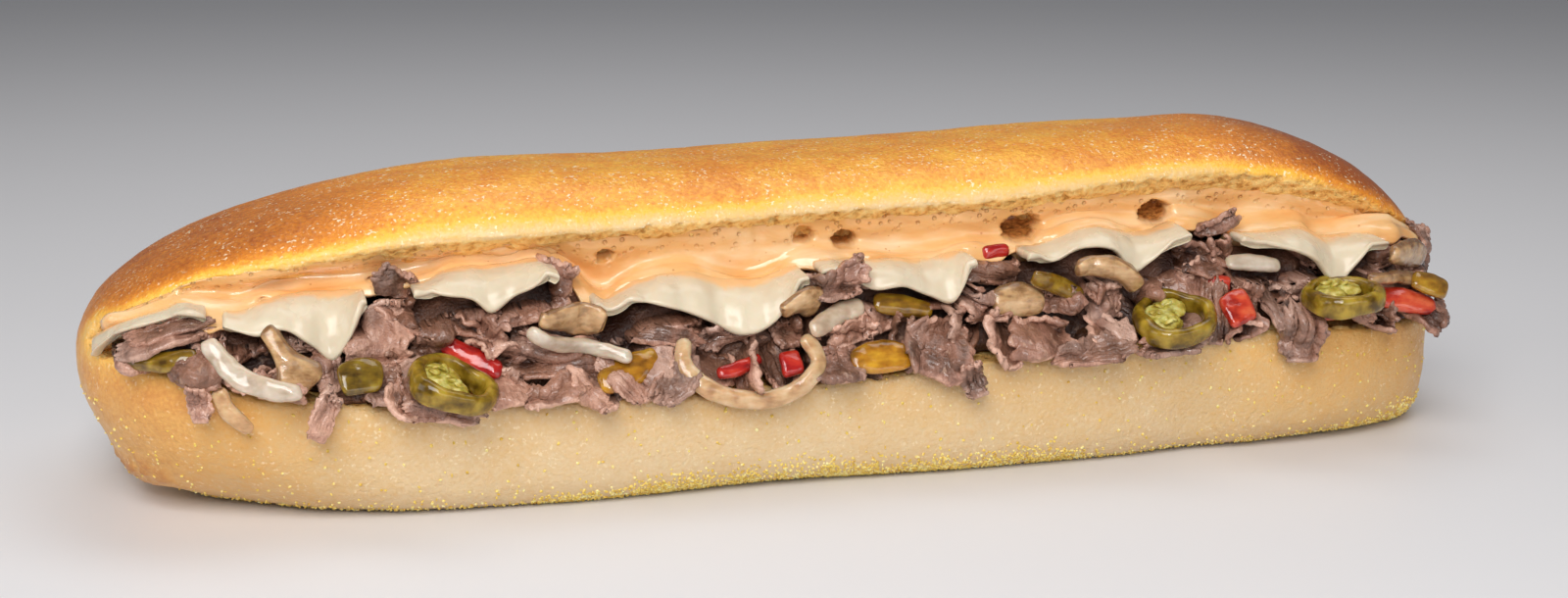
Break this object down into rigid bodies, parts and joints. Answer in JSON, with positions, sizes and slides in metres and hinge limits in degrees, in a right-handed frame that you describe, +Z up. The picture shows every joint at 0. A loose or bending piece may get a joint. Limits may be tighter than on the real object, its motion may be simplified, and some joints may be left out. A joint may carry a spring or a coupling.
{
  "type": "submarine sandwich",
  "caption": "Long soft roll slit lengthwise and hinged at the back, filled with shaved steak, draped cheese slices, pickled peppers, onion, mushroom and creamy sauce.",
  "frame": {"origin": "middle of the flat base that the roll rests on", "axes": "+X along the roll from its closed left end to its open right end, -Y the side that the filling faces, +Z up"},
  "size_m": [0.2979, 0.0945, 0.0678],
  "materials": {
    "bread": "matt baked crust",
    "sauce": "glossy creamy sauce",
    "cheese": "soft satin",
    "steak": "moist",
    "green_pepper": "wet",
    "red_pepper": "wet",
    "onion": "wet",
    "mushroom": "moist"
  },
  "bodies": {
    "root": {"roll": "bread", "sauce": "sauce", "cheese_a": "cheese", "cheese_b": "cheese", "cheese_c": "cheese", "cheese_d": "cheese", "cheese_e": "cheese", "cheese_f": "cheese", "cheese_g": "cheese", "steak": "steak", "pepper_a": "green_pepper", "pepper_b": "green_pepper", "pepper_c": "green_pepper", "pepper_d": "green_pepper", "pepper_e": "green_pepper", "pepper_f": "green_pepper", "pepper_g": "green_pepper", "pepper_h": "green_pepper", "pepper_i": "green_pepper", "pepper_j": "green_pepper", "red_a": "red_pepper", "red_b": "red_pepper", "red_c": "red_pepper", "red_e": "red_pepper", "red_f": "red_pepper", "red_g": "red_pepper", "red_h": "red_pepper", "red_i": "red_pepper", "onion_a": "onion", "onion_b": "onion", "onion_c": "onion", "onion_d": "onion", "onion_e": "onion", "onion_f": "onion", "mushroom_a": "mushroom", "mushroom_b": "mushroom", "mushroom_c": "mushroom", "mushroom_d": "mushroom", "mushroom_e": "mushroom", "mushroom_f": "mushroom", "mushroom_g": "mushroom"}
  },
  "joints": []
}
